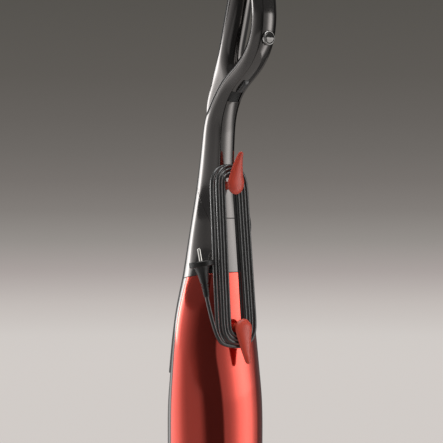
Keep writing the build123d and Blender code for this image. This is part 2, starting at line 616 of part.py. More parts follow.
def brush_and_pedal():
    front, rear = BRUSH_Y
    spans = ((-BRUSH_HALF, BRUSH_HALF, front), (-BRUSH_HALF, -20, rear), (20, BRUSH_HALF, rear))
    half = BRUSH_T / 2
    save("brush_strips", Compound([block(x0, x1, y - half, y + half, 0.5, 13)
                                   for x0, x1, y in spans]), DARK)
    save("brush_carrier", Compound([block(x0, x1, y - half - 0.4, y + half + 0.4, 13, 15.5)
                                    for x0, x1, y in spans]), STEEL)
    x0, x1 = PEDAL_X - PEDAL_W / 2, PEDAL_X + PEDAL_W / 2
    pad = block(x0, x1, PEDAL_Y - PEDAL_L / 2, PEDAL_Y + PEDAL_L / 2, 40, 48)
    pad = fillet(pad.edges().filter_by(Axis.X).group_by(Axis.Z)[-1], 3)
    pad = Pos(0, PEDAL_Y, 44) * Rot(8, 0, 0) * Pos(0, -PEDAL_Y, -44) * pad
    boss = rod((x0 + 4, PEDAL_Y, 40), (x1 - 4, PEDAL_Y, 40), 4)
    save("pedal", (pad + boss) - rod((x0, PEDAL_Y, 40), (x1, PEDAL_Y, 40), 2 + FIT), RED)
    save("pedal_pin", rod((x0 - 3, PEDAL_Y, 40), (x1 + 3, PEDAL_Y, 40), 2), STEEL)


def build():
    for make in (handle, power_button, grip_clip, body_shells, exhaust, container,
                 release_button, chassis, suction_pipe, motor, electrics, fasteners, hooks,
                 winding, cord_ends, plug, neck, floor_head, wheels, brush_and_pedal):
        make()
    for name, shape in PARTS.items():
        export_step(shape, f"parts/{name}.step")
    print(len(PARTS), "parts")


build()
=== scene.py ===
import json
import math
import random

import bmesh
import bpy
import numpy as np
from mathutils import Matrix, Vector


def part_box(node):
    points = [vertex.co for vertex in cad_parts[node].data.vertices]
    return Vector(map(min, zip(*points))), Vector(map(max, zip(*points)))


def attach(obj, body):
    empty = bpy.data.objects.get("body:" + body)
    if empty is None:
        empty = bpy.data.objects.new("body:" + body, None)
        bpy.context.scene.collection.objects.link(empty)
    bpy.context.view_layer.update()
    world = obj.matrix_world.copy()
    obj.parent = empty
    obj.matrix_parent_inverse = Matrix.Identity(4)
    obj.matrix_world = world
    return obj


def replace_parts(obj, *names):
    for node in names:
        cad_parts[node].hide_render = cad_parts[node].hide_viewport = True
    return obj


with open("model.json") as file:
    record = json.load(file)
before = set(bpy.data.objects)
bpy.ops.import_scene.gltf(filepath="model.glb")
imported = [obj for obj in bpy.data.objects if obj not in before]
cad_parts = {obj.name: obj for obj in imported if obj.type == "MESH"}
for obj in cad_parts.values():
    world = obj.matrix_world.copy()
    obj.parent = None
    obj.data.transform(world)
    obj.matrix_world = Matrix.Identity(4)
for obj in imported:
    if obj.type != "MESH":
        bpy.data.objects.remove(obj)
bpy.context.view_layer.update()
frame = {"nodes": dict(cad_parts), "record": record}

# Upright vacuum cleaner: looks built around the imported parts.  Metres, +Z up, -Y is the
# front with the dust container, +Y the rear with the cord hooks.

NODES = frame["nodes"]
random.seed(7)
MM = 0.001

# ---- driving forms, in millimetres as in the part ------------------------------------------
# Body: height, half width, half depth, centre Y, rear panel Y
BODY = [
    (108, 30.0, 29.0, 28.0, 55.0),
    (125, 38.0, 36.0, 22.0, 56.5),
    (150, 50.0, 46.0, 13.0, 57.5),
    (185, 61.0, 56.0, 6.0, 60.0),
    (230, 68.0, 62.5, 2.0, 62.3),
    (290, 71.5, 65.5, 0.0, 63.0),
    (370, 72.2, 66.5, 0.0, 63.4),
    (430, 72.6, 64.0, 0.0, 61.0),
    (478, 70.3, 57.5, 0.0, 54.3),
    (502, 68.8, 54.0, 0.0, 50.6),
    (550, 63.0, 49.5, 0.0, 47.0),
    (580, 56.5, 47.3, 0.0, 45.3),
    (617, 45.8, 45.0, 0.0, 43.4),
    (655, 38.5, 40.0, 0.5, 39.5),
]
PANEL_R = 140.0
# Handle along its path: Y, Z, half width, half depth, backward lean and crease angle in
# degrees, how far the section narrows towards the rear, and radius across the rear panel
STEM = [
    (0.0, 580, 56.5, 47.3, 0, 23.0, 0.0, 140),
    (0.0, 617, 45.8, 45.0, 0, 18.7, 0.0, 140),
    (0.5, 655, 38.5, 40.0, 0, 24.0, 0.7, 110),
    (2.5, 700, 32.5, 34.0, 1, 31.0, 1.0, 80),
    (3.0, 735, 26.0, 31.0, 1, 36.0, 1.0, 60),
    (4.5, 775, 20.8, 27.8, 2, 38.0, 1.0, 48),
    (9.0, 818, 20.0, 24.5, 8, 38.0, 1.0, 46),
    (15.0, 850, 20.0, 21.5, 20, 38.0, 0.9, 42),
    (27.0, 875, 18.5, 18.0, 38, 40.0, 0.8, 36),
    (46.0, 900, 17.5, 16.0, 50, 42.0, 0.6, 32),
    (68.0, 917, 17.2, 15.2, 50, 42.0, 0.5, 32),
    (89.0, 934.5, 17.2, 15.0, 42, 42.0, 0.5, 32),
    (105.5, 960, 17.4, 14.5, 26, 42.0, 0.5, 32),
    (112.5, 992, 17.3, 14.0, 4, 42.0, 0.5, 32),
    (109.5, 1030, 17.3, 14.0, -6, 42.0, 0.4, 32),
    (103.0, 1062, 17.0, 13.2, -15, 42.0, 0.2, 32),
    (94.5, 1085, 16.5, 12.0, -40, 42.0, 0.0, 32),
    (80.5, 1094, 16.0, 11.0, -88, 42.0, 0.0, 32),
    (71.6, 1089, 15.8, 11.2, -136, 42.0, 0.0, 32),
    (68.9, 1080, 15.9, 12.0, -168, 42.0, 0.0, 32),
    (67.4, 1068, 16.2, 13.4, -172, 42.0, 0.0, 32),
]
# Section that narrows to the rear: angle from the rear in degrees, and half width and depth
# as shares of the oval's own
WEDGE = [
    (0, 0.0, 1.0), (18, 0.33, 0.965), (38, 0.60, 0.82), (60, 0.78, 0.50), (80, 0.965, 0.13),
    (90, 1.01, -0.04), (105, 0.99, -0.28), (125, 0.84, -0.59), (150, 0.50, -0.88),
    (180, 0.0, -1.0),
]
# Front arch of the handle: Y, Z, half width, half depth, lean, squareness of the section
ARCH = [
    (10.0, 840, 14.0, 13.0, 8, 3.2),
    (14.0, 868, 14.5, 17.0, 10, 4.2),
    (26.0, 892, 14.5, 22.0, 12, 4.2),
    (33.0, 912, 14.8, 23.0, 14, 3.2),
    (35.0, 930, 16.2, 19.0, 17, 2.3),
    (38.5, 948, 16.8, 16.4, 18, 2.0),
    (46.0, 976, 17.0, 16.0, 16.5, 2.0),
    (60.0, 1030, 16.5, 15.5, 13, 2.0),
    (66.5, 1062, 16.0, 13.5, 9, 2.0),
    (70.0, 1088, 15.0, 11.0, 4, 2.0),
]
SKIN = 2.2
SEAM = 0.4
CORE_DEEP = 3.0
RED_TOP, RED_TOP_RISE = 616.0, 0.16
SPLIT_Z, SPLIT_FALL = 733.4, 1.67
SPINE_SPLIT_Z = 703.0
SHELL_FOOT_Z = 150.0
SIDE_SEAM_Y, SIDE_SEAM_RISE = -13.6, 0.028
TRIM_W = 9.5
CUP_Z = (196.0, 462.0)
COVER_FOOT_Z = 473.0

COIL_X, COIL_W, COIL_DEPTH = 6.2, 67.6, 12.0
COIL_Z = (509.5, 787.0)
COIL_TOP_Y, COIL_FOOT_Y = 38.6, 56.1
CORD_D = 6.0
HOOK_TOP_Z, HOOK_LOW_Z = 752.0, 542.5
TAIL = [
    (53, 46, 588), (50.6, 47.6, 574), (47.6, 50.4, 557), (44.2, 53.4, 541),
    (39.2, 55.4, 527), (31.0, 56.4, 517.5),
]
LEAD = [
    (-33.0, 27.0, 722), (-36.0, 32.5, 713), (-35.5, 38.0, 699), (-32.5, 42.5, 685),
    (-26.0, 45.2, 673),
]
BUTTON_Z, BUTTON_FACE_Y, BUTTON_R = 963.5, 124.0, 8.0
BUTTON_DOME, BUTTON_ROOM = 2.0, 1.7     # rise of its face, and the hole's extra radius


# ---- camera -------------------------------------------------------------------------------
def camera():
    """View from behind the right side, at mid height."""
    data = bpy.data.cameras.new("camera")
    cam = bpy.data.objects.new("camera", data)
    bpy.context.scene.collection.objects.link(cam)
    azimuth, distance, height = math.radians(140), 2.6, 0.698
    back = Vector((math.sin(azimuth), -math.cos(azimuth), 0))
    right = Vector((back.y, -back.x, 0)) * -1
    aim = Vector((0, 0, height)) + right * 0.0105
    cam.location = aim + back * distance
    cam.rotation_euler = (-back).to_track_quat("-Z", "Y").to_euler()
    data.sensor_width = 36.0
    data.lens = 36.0 * distance / 0.6645
    data.clip_end = 60
    bpy.context.scene.camera = cam


camera()


# ---- curves through sections ----------------------------------------------------------------
def spline(knots, values):
    """Smooth curve through the values, as a function of the knots' own measure."""
    x, y = np.array(knots, float), np.array(values, float)
    h = np.diff(x)
    n = len(x)
    m, r = np.eye(n), np.zeros((n,) + y.shape[1:])
    for i in range(1, n - 1):
        m[i, i - 1:i + 2] = h[i - 1], 2 * (h[i - 1] + h[i]), h[i]
        r[i] = 6 * ((y[i + 1] - y[i]) / h[i] - (y[i] - y[i - 1]) / h[i - 1])
    curve = np.linalg.solve(m, r)

    def at(t):
        i = int(np.clip(np.searchsorted(x, t) - 1, 0, n - 2))
        a, b = (x[i + 1] - t) / h[i], (t - x[i]) / h[i]
        bend = ((a ** 3 - a) * curve[i] + (b ** 3 - b) * curve[i + 1]) * h[i] ** 2 / 6
        return a * y[i] + b * y[i + 1] + bend

    return at


def path_track(sections):
    """Section values along a path, as a function of the length from its start."""
    rows = np.array(sections, float)
    steps = np.hypot(np.diff(rows[:, 0]), np.diff(rows[:, 1]))
    length = np.concatenate([[0], np.cumsum(steps)])
    return spline(length, rows), length


STEM_AT, STEM_KNOTS = path_track(STEM)
ARCH_AT, ARCH_KNOTS = path_track(ARCH)
_body_rows = np.array(BODY, float)
BODY_AT = spline(_body_rows[:, 0], _body_rows[:, 1:])


def mirrored(table):
    """The half section's table run on through both symmetry lines, so its curve is smooth there."""
    half = [(math.radians(t), x, y) for t, x, y in table]
    before = [(-t, -x, y) for t, x, y in reversed(half[1:5])]
    after = [(2 * math.pi - t, -x, y) for t, x, y in reversed(half[-5:-1])]
    return before + half + after


_wedge = np.array(mirrored(WEDGE))
WEDGE_AT = spline(_wedge[:, 0], _wedge[:, 1:])


def on_path(y, z, lean, side, out):
    t = math.radians(lean)
    return Vector((side, y + out * math.cos(t), z - out * math.sin(t)))


def stem_section(row, theta, inset=0.0):
    """Half width and depth of the stem's side at an angle from the rear, 0 to 180 degrees."""
    _, _, a, b, _, _, narrow, _ = row
    x, y = WEDGE_AT(theta)
    x = narrow * x + (1 - narrow) * math.sin(theta)
    y = narrow * y + (1 - narrow) * math.cos(theta)
    return (a - inset) * x, (b - inset) * y


def stem_side(s, theta, inset=0.0):
    """Point on the stem's side; theta runs from the rear, negative on the -X side."""
    row = STEM_AT(s)
    side, out = stem_section(row, abs(theta), inset)
    return on_path(row[0], row[1], row[4], math.copysign(side, theta), out)


def stem_panel(s, share, inset=0.0):
    """Point on the stem's rear panel; share runs from -1 to 1 between its creases."""
    row = STEM_AT(s)
    side, out = stem_section(row, math.radians(row[5]), inset)
    x = share * side
    return on_path(row[0], row[1], row[4], x, out + (side * side - x * x) / (2 * row[7]))


def stem_ring(s, inset, count=30):
    """Closed section of the stem, panel and side together."""
    crease = math.radians(STEM_AT(s)[5])
    turn = steps(crease, 2 * math.pi - crease, 2 * count)
    ring = [stem_panel(s, share, inset) for share in steps(-1, 1, 12)[:-1]]
    return ring + [stem_side(s, t if t <= math.pi else t - 2 * math.pi, inset) for t in turn[:-1]]


def arch_point(s, theta, inset=0.0):
    y, z, a, b, lean, square = ARCH_AT(s)
    side, out = math.sin(theta), math.cos(theta)
    power = 2 / square
    return on_path(y, z, lean, math.copysign(abs(side) ** power, side) * (a - inset),
                   math.copysign(abs(out) ** power, out) * (b - inset))


def body_point(z, theta, inset=0.0):
    """Point on the body's elliptical side."""
    a, b, yc, _ = BODY_AT(z)
    return Vector(((a - inset) * math.sin(theta), yc + (b - inset) * math.cos(theta), z))


CREASES = {}


def crease_angle(z):
    """Angle from the rear at which the rear panel meets the body's side."""
    if z in CREASES:
        return CREASES[z]
    a, b, yc, rear = BODY_AT(z)

    def over(t):
        x = a * math.sin(t)
        return rear - PANEL_R + math.sqrt(PANEL_R ** 2 - x * x) - yc - b * math.cos(t)

    CREASES[z] = solve(over, 0.02, 1.2)
    return CREASES[z]


def panel_point(z, share):
    """Point on the rear panel; share runs from -1 to 1 between its creases."""
    a, _, _, rear = BODY_AT(z)
    x = share * a * math.sin(crease_angle(z))
    return Vector((x, rear - PANEL_R + math.sqrt(PANEL_R ** 2 - x * x), z))


def side_seam_y(z):
    return SIDE_SEAM_Y + SIDE_SEAM_RISE * (z - 365)


def angle_at_y(z, y):
    """Angle from the rear at which the body's side is at this Y."""
    _, b, yc, _ = BODY_AT(z)
    return math.acos(max(-1.0, min(1.0, (y - yc) / b)))


def solve(value, low, high):
    """Where a function of one number goes from below zero to above it."""
    for _ in range(44):
        mid = (low + high) / 2
        if value(mid) < 0:
            low = mid
        else:
            high = mid
    return (low + high) / 2


# ---- materials --------------------------------------------------------------------------------
def new_material(name):
    mat = bpy.data.materials.new(name)
    mat.use_nodes = True
    nodes, links = mat.node_tree.nodes, mat.node_tree.links
    nodes.clear()
    out = nodes.new("ShaderNodeOutputMaterial")
    shader = nodes.new("ShaderNodeBsdfPrincipled")
    links.new(shader.outputs[0], out.inputs[0])
    coords = nodes.new("ShaderNodeTexCoord")
    return mat, nodes, links, shader, coords.outputs["Object"]


def stretched(nodes, links, coords, scale):
    mapping = nodes.new("ShaderNodeMapping")
    mapping.inputs["Scale"].default_value = scale
    links.new(coords, mapping.inputs[0])
    return mapping.outputs[0]


def noise(nodes, links, coords, scale, detail=2.0):
    tex = nodes.new("ShaderNodeTexNoise")
    tex.inputs["Scale"].default_value = scale
    tex.inputs["Detail"].default_value = detail
    links.new(coords, tex.inputs["Vector"])
    return tex.outputs["Fac"]


def ramp(nodes, links, value, stops):
    node = nodes.new("ShaderNodeValToRGB")
    elements = node.color_ramp.elements
    while len(elements) < len(stops):
        elements.new(0.5)
    for element, (place, colour) in zip(elements, stops):
        element.position = place
        element.color = (*colour, 1) if len(colour) == 3 else colour
    links.new(value, node.inputs[0])
    return node.outputs[0]


def ranged(nodes, links, value, low, high):
    node = nodes.new("ShaderNodeMapRange")
    node.inputs["From Min"].default_value = 0.3
    node.inputs["From Max"].default_value = 0.7
    node.inputs["To Min"].default_value = low
    node.inputs["To Max"].default_value = high
    links.new(value, node.inputs["Value"])
    return node.outputs[0]


def bump(nodes, links, shader, height, strength, distance):
    node = nodes.new("ShaderNodeBump")
    node.inputs["Strength"].default_value = strength
    node.inputs["Distance"].default_value = distance
    links.new(height, node.inputs["Height"])
    links.new(node.outputs[0], shader.inputs["Normal"])


def shade(colour, factor):
    return tuple(min(1.0, c * factor) for c in colour)


def finish_of(name, colour, metallic, roughness, spread=0.15, grain=900.0, grain_depth=0.00002,
              grain_strength=0.12, coat=0.0, coat_roughness=0.03, streak=None, tint=0.06,
              specular=0.5):
    """Moulded, painted or bare surface: fine tint, worn gloss and a grain at its real scale."""
    mat, nodes, links, shader, coords = new_material(name)
    fine = stretched(nodes, links, coords, streak) if streak else coords
    broad = noise(nodes, links, coords, 14.0, 3.0)
    small = noise(nodes, links, fine, grain, 2.0)
    tone = ramp(nodes, links, small, [(0.3, shade(colour, 1 - tint)), (0.7, shade(colour, 1 + tint))])
    links.new(tone, shader.inputs["Base Color"])
    links.new(ranged(nodes, links, broad, roughness * (1 - spread), roughness * (1 + spread)),
              shader.inputs["Roughness"])
    bump(nodes, links, shader, small, grain_strength, grain_depth)
    shader.inputs["Metallic"].default_value = metallic
    shader.inputs["Specular IOR Level"].default_value = specular
    shader.inputs["Coat Weight"].default_value = coat
    shader.inputs["Coat Roughness"].default_value = coat_roughness
    return mat


MATERIALS = {}


def materials():
    """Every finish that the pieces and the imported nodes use."""
    make = MATERIALS
    make["handle_grey"] = finish_of(
        "handle_grey", (0.135, 0.126, 0.122), 0.97, 0.13, grain=5200.0, tint=0.14,
        grain_strength=0.04, coat=0.6, coat_roughness=0.05)
    make["body_red"] = finish_of(
        "body_red", (0.74, 0.075, 0.048), 0.97, 0.15, grain=4800.0, tint=0.14,
        grain_strength=0.04, coat=0.9, coat_roughness=0.05)
    make["hook_red"] = finish_of(
        "hook_red", (0.84, 0.095, 0.055), 0.0, 0.34, grain=2500.0, tint=0.05,
        grain_strength=0.03, coat=0.2, coat_roughness=0.25)
    make["cover_dark"] = finish_of(
        "cover_dark", (0.030, 0.030, 0.031), 0.0, 0.22, grain=1500.0, coat=0.4)
    make["head_dark"] = finish_of(
        "head_dark", (0.034, 0.033, 0.033), 0.0, 0.36, grain=1400.0, grain_strength=0.25,
        grain_depth=0.00004)
    make["button_chrome"] = finish_of(
        "button_chrome", (0.42, 0.41, 0.40), 1.0, 0.14, grain=3000.0, grain_strength=0.02,
        tint=0.02)
    make["button_dark"] = finish_of(
        "button_dark", (0.16, 0.155, 0.15), 1.0, 0.16, grain=3000.0, grain_strength=0.02,
        tint=0.02)
    make["steel"] = finish_of(
        "steel", (0.58, 0.58, 0.59), 1.0, 0.28, grain=700.0, grain_strength=0.10,
        streak=(1.0, 1.0, 0.05), tint=0.08)
    make["plug_pin"] = finish_of(
        "plug_pin", (0.80, 0.78, 0.74), 1.0, 0.16, grain=1400.0, grain_strength=0.06,
        streak=(1.0, 1.0, 0.08), tint=0.04)
    make["inner_black"] = finish_of(
        "inner_black", (0.012, 0.012, 0.012), 0.0, 0.45, grain=1600.0, grain_strength=0.2)
    make["soft_rubber"] = finish_of(
        "soft_rubber", (0.020, 0.020, 0.020), 0.0, 0.60, grain=1100.0, grain_strength=0.3,
        grain_depth=0.00005)
    make["wheel_tyre"] = finish_of(
        "wheel_tyre", (0.024, 0.024, 0.024), 0.0, 0.66, grain=900.0, grain_strength=0.35,
        grain_depth=0.00006)
    make["wheel_hub"] = finish_of(
        "wheel_hub", (0.13, 0.13, 0.13), 0.2, 0.36, grain=1500.0)
    make["bristle"] = finish_of(
        "bristle", (0.035, 0.034, 0.033), 0.0, 0.42, grain=900.0, streak=(1.0, 1.0, 0.1))
    make["felt"] = finish_of(
        "felt", (0.42, 0.41, 0.38), 0.0, 0.92, grain=1700.0, grain_strength=0.8,
        grain_depth=0.0003, tint=0.25)
    make["filter_white"] = finish_of(
        "filter_white", (0.70, 0.69, 0.66), 0.0, 0.90, grain=2100.0, grain_strength=0.6,
        grain_depth=0.0002, tint=0.10)
    make["board_green"] = finish_of(
        "board_green", (0.03, 0.16, 0.07), 0.0, 0.30, grain=300.0, tint=0.3)
    make["wire"] = finish_of("wire", (0.022, 0.022, 0.022), 0.0, 0.42, grain=1500.0)
    make["cord"] = finish_of(
        "cord", (0.020, 0.0195, 0.019), 0.0, 0.36, grain=2200.0, grain_strength=0.004, tint=0.05,
        specular=0.7, coat=1.0, coat_roughness=0.20)
    make["plug_black"] = finish_of(
        "plug_black", (0.017, 0.0165, 0.016), 0.0, 0.40, grain=2600.0, grain_strength=0.3,
        grain_depth=0.00004)
    clear = finish_of("clear_smoke", (0.60, 0.61, 0.63), 0.0, 0.06, grain=500.0,
                      grain_strength=0.02, tint=0.02)
    clear.node_tree.nodes["Principled BSDF"].inputs["Transmission Weight"].default_value = 0.95
    clear.node_tree.nodes["Principled BSDF"].inputs["IOR"].default_value = 1.49
    make["clear_smoke"] = clear


materials()


# ---- pieces -----------------------------------------------------------------------------------
def link(obj, material, body):
    bpy.context.scene.collection.objects.link(obj)
    if not obj.data.materials:
        obj.data.materials.append(MATERIALS[material])
    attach(obj, body)
    return obj


def mesh_piece(name, bm, material, body, smooth=True):
    """New piece from a bmesh in millimetres."""
    bmesh.ops.scale(bm, vec=(MM, MM, MM), verts=bm.verts)
    data = bpy.data.meshes.new(name)
    bm.to_mesh(data)
    bm.free()
    for face in data.polygons:
        face.use_smooth = smooth
    return link(bpy.data.objects.new(name, data), material, body)


def rounded(obj, width, segments=2, angle=35.0, weighted=True):
    """Small rounding on the piece's sharp edges, in millimetres."""
    mod = obj.modifiers.new("edges", "BEVEL")
    mod.width = width * MM
    mod.segments = segments
    mod.limit_method = "ANGLE"
    mod.angle_limit = math.radians(angle)
    mod.harden_normals = True
    if weighted:
        normals = obj.modifiers.new("normals", "WEIGHTED_NORMAL")
        normals.keep_sharp = True
    return obj


def grid(rows, closed=False, bm=None, flip=False):
    """Quads between rows of points; closed joins each row's end to its start."""
    bm = bm or bmesh.new()
    made = [[bm.verts.new(p) for p in row] for row in rows]
    for low, high in zip(made, made[1:]):
        count = len(low)
        for i in range(count if closed else count - 1):
            j = (i + 1) % count
            quad = (low[i], low[j], high[j], high[i])
            bm.faces.new(quad[::-1] if flip else quad)
    return bm


def steps(low, high, count):
    return [low + (high - low) * k / (count - 1) for k in range(count)]


def shell_piece(name, rows, material, body="cleaner", skin=SKIN, edge=0.35, flip=False,
                closed=False, hole=None):
    """Moulded shell: a surface given a wall inwards, with small rounded edges."""
    bm = grid(rows, closed=closed, flip=flip)
    if hole:
        cut = [f for f in bm.faces if hole(f.calc_center_median())]
        bmesh.ops.delete(bm, geom=cut, context="FACES")
    obj = mesh_piece(name, bm, material, body)
    wall = obj.modifiers.new("wall", "SOLIDIFY")
    wall.thickness = skin * MM
    wall.offset = -1.0
    wall.use_even_offset = True
    rounded(obj, edge, angle=50.0, weighted=False)
    return obj


# ---- handle shells ------------------------------------------------------------------------------
LOOP_END = STEM_KNOTS[-1]      # over the loop's top and down onto the front arch
NECK_END = STEM_KNOTS[7]
NOTCH = (STEM_KNOTS[8] + 12.0, STEM_KNOTS[9] - 1.0)    # break in the rear panel under the grip
CLIP = (STEM_KNOTS[9] - 1.5, STEM_KNOTS[9] + 25.5)      # ends of the clip along the stem
CLIP_W, CLIP_H, CLIP_SINK = 10.0, 6.5, 0.8             # width, height, depth sunk in the panel
CLIP_PANEL = 11.5                                       # half width of the panel at the clip


def stem_length_at(point_at, height):
    """Length along the neck at which a line of the stem reaches a seam of this height."""
    def above(s):
        p = point_at(s)
        return p.z - height(p)
    return solve(above, 0.0, NECK_END)


def red_seam(offset):
    return lambda p: RED_TOP + RED_TOP_RISE * p.y + offset


def split_seam(offset):
    return lambda p: SPLIT_Z - SPLIT_FALL * p.y + offset


def flat_seam(z):
    return lambda p: z


def stem_lines(kind, count):
    """Lines that run along the stem: its side round the front, or its rear panel."""
    if kind == "panel":
        return [lambda s, k=k: stem_panel(s, k * 0.985) for k in steps(-1, 1, count)]

    def side(k):
        def line(s):
            crease = math.radians(STEM_AT(s)[5]) + 0.012
            t = crease + (2 * math.pi - 2 * crease) * k
            return stem_side(s, t if t <= math.pi else t - 2 * math.pi)
        return line
    return [side(k) for k in steps(0, 1, count)]


def stem_shell(name, kind, low, high, count, around):
    """Shell between two seams; low and high give a line's length at its ends."""
    lines = stem_lines(kind, around)
    ends = [(low(line), high(line)) for line in lines]
    rows = [[line(a + (b - a) * share) for line, (a, b) in zip(lines, ends)]
            for share in steps(0, 1, count)]
    return shell_piece(name, rows, "handle_grey", flip=(kind == "panel"),
                       hole=in_button_hole)


def in_button_hole(p):
    return p.y > 80 and math.hypot(p.x, p.z - BUTTON_Z) < BUTTON_R + BUTTON_ROOM


def at_seam(height):
    return lambda line: stem_length_at(line, height)


def at_length(s):
    return lambda line: s


def handle_shells():
    """Side and rear shells of the handle and the neck, each between two seams."""
    piece = stem_shell("handle_side", "side", at_seam(split_seam(SEAM)), at_length(LOOP_END),
                       240, 89)
    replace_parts(piece, "handle_side_shell")
    piece = stem_shell("neck_side", "side", at_seam(red_seam(SEAM)), at_seam(split_seam(-SEAM)),
                       50, 89)
    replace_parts(piece, "neck_shell")
    piece = stem_shell("handle_rear_low", "panel", at_seam(flat_seam(SPINE_SPLIT_Z + SEAM)),
                       at_length(NOTCH[0]), 100, 25)
    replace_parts(piece, "handle_rear_shell")
    piece = stem_shell("handle_rear_grip", "panel", at_length(NOTCH[1]), at_length(LOOP_END),
                       130, 25)
    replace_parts(piece, "handle_rear_shell")
    piece = stem_shell("neck_spine_cover", "panel", at_seam(red_seam(SEAM)),
                       at_seam(flat_seam(SPINE_SPLIT_Z - SEAM)), 40, 25)
    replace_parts(piece, "neck_spine")


def handle_core():
    """Black core that shows in the seams and in the notch under the grip: an inner part whose
    near-black colour also paints the shade in those grooves.
    """
    rows = [stem_ring(s, CORE_DEEP) for s in steps(STEM_KNOTS[1] + 6, LOOP_END - 2, 120)]
    # near-black finish: the core's own dark colour together with painted shade for the seams and the
    # notch
    obj = shell_piece("handle_core_tube", rows, "inner_black", closed=True,
                      skin=1.6)
    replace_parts(obj, "handle_core")


def arch_shell():
    """Front arch that closes the loop."""
    thetas = steps(0, 2 * math.pi, 97)[:-1]
    rows = [[arch_point(s, t) for t in thetas] for s in steps(0, ARCH_KNOTS[-1], 130)]
    obj = shell_piece("handle_arch_shell", rows, "handle_grey", closed=True)
    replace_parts(obj, "handle_arch")


def grip_clip():
    """Small clip moulded onto the rear panel under the grip."""
    rows = []
    for s in steps(CLIP[0], CLIP[1], 28):
        lean = math.radians(STEM_AT(s)[4])
        out = Vector((0, math.cos(lean), -math.sin(lean)))
        share = 2 * (s - CLIP[0]) / (CLIP[1] - CLIP[0]) - 1
        height = CLIP_H * (1 - abs(share) ** 5) - CLIP_SINK
        ring = [(math.sin(t), math.cos(t)) for t in steps(0, 2 * math.pi, 25)[:-1]]
        row = []
        for x, y in ring:
            across = CLIP_W / 2 * math.copysign(abs(x) ** 0.5, x)
            rise = height / 2 * (1 + math.copysign(abs(y) ** 0.5, y)) - CLIP_SINK
            row.append(stem_panel(s, across / CLIP_PANEL) + out * rise)
        rows.append(row)
    bm = grid(rows, closed=True)
    bmesh.ops.holes_fill(bm, edges=bm.edges)
    bmesh.ops.recalc_face_normals(bm, faces=bm.faces)
    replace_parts(mesh_piece("grip_clip_cover", bm, "cover_dark", "cleaner"),
                "grip_clip")


handle_shells()
handle_core()
arch_shell()
grip_clip()


# ---- body shells --------------------------------------------------------------------------------
def side_row(z, y_front, count):
    """Points round the rear from one side line to the other: side, rear panel, side."""
    crease = crease_angle(z)
    side = angle_at_y(z, y_front)
    row = [body_point(z, -t) for t in steps(side, crease, count)]
    row += [panel_point(z, share) for share in steps(-1, 1, 33)[1:-1]]
    row += [body_point(z, t) for t in steps(crease, side, count)]
    return row


RISE_FROM = 590.0                              # above it the rows of a body shell tilt
DOOR_X, DOOR_Z = 24.6, (519.4, 584.6)          # opening for the exhaust door
RELEASE_X, RELEASE_Z = 17.4, (483.6, 500.4)    # opening for the container's release button


def body_shell(name, row_at, levels, material, hole=None):
    """Shell between heights; above RISE_FROM its rows tilt until the last lies on the seam."""
    rows = []
    for z in levels:
        blend = max(0.0, (z - RISE_FROM) / (RED_TOP - SEAM - RISE_FROM))
        flat = row_at(z)
        lifted = [row_at(z + blend * RED_TOP_RISE * p.y)[i] for i, p in enumerate(flat)] \
            if blend else flat
        rows.append(lifted)
    return shell_piece(name, rows, material, hole=hole)


def levels_between(marks):
    """Heights through every mark, about 3.5 mm apart."""
    levels = [marks[0]]
    for low, high in zip(marks, marks[1:]):
        levels += steps(low, high, max(3, round((high - low) / 3.5)))[1:]
    return levels


def in_cover_opening(p):
    door = abs(p.x) < DOOR_X and DOOR_Z[0] < p.z < DOOR_Z[1]
    return door or (abs(p.x) < RELEASE_X and RELEASE_Z[0] < p.z < RELEASE_Z[1])


def front_row(z):
    """Points round the front, with columns on both openings' sides."""
    side = angle_at_y(z, side_seam_y(z) - TRIM_W - 2 * SEAM)
    half_width = BODY_AT(z)[0]
    marks = [side] + [math.pi - math.asin(x / half_width) for x in (DOOR_X, RELEASE_X)] + [math.pi]
    half = [side]
    for (low, high), count in zip(zip(marks, marks[1:]), (18, 5, 10)):
        half += steps(low, high, count)[1:]
    turn = half + [2 * math.pi - t for t in reversed(half[:-1])]
    return [body_point(z, t) for t in turn]


def plain_front_row(z):
    side = angle_at_y(z, side_seam_y(z) - TRIM_W - 2 * SEAM)
    return [body_point(z, t) for t in steps(side, 2 * math.pi - side, 61)]


def trim_row(side):
    def row(z):
        a = angle_at_y(z, side_seam_y(z) - SEAM)
        b = angle_at_y(z, side_seam_y(z) - TRIM_W)
        span = steps(a, b, 9) if side > 0 else steps(b, a, 9)
        return [body_point(z, side * t) for t in span]
    return row


def body_shells():
    """Red rear shell, its two side trims and the dark covers on the front."""
    low, top = SHELL_FOOT_Z + SEAM, RED_TOP - SEAM
    tall = levels_between((low, RISE_FROM, top))
    piece = body_shell("red_rear_shell", lambda z: side_row(z, side_seam_y(z) + SEAM, 40), tall,
                       "body_red")
    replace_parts(piece, "rear_shell")
    for side, tag in ((-1, "left"), (1, "right")):
        piece = body_shell(f"trim_{tag}", trim_row(side), tall, "handle_grey")
        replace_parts(piece, "side_trims")
    marks = (COVER_FOOT_Z, *RELEASE_Z, *DOOR_Z, RISE_FROM, top)
    piece = body_shell("front_upper_cover", front_row, levels_between(marks), "cover_dark",
                       hole=in_cover_opening)
    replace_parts(piece, "front_cover")
    piece = body_shell("front_lower_cover", plain_front_row,
                       levels_between((low, CUP_Z[0] - 2)),
                       "cover_dark")
    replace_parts(piece, "front_foot_cover")


body_shells()


# ---- cord ---------------------------------------------------------------------------------------
COIL_LEAN = math.atan2(COIL_FOOT_Y - COIL_TOP_Y, COIL_Z[1] - COIL_Z[0])
OUT = Vector((0, math.cos(COIL_LEAN), math.sin(COIL_LEAN)))
UP = Vector((0, -math.sin(COIL_LEAN), math.cos(COIL_LEAN)))
COIL_MID = Vector((COIL_X, (COIL_TOP_Y + COIL_FOOT_Y) / 2, (COIL_Z[0] + COIL_Z[1]) / 2))
COIL_H = (COIL_Z[1] - COIL_Z[0]) / math.cos(COIL_LEAN)


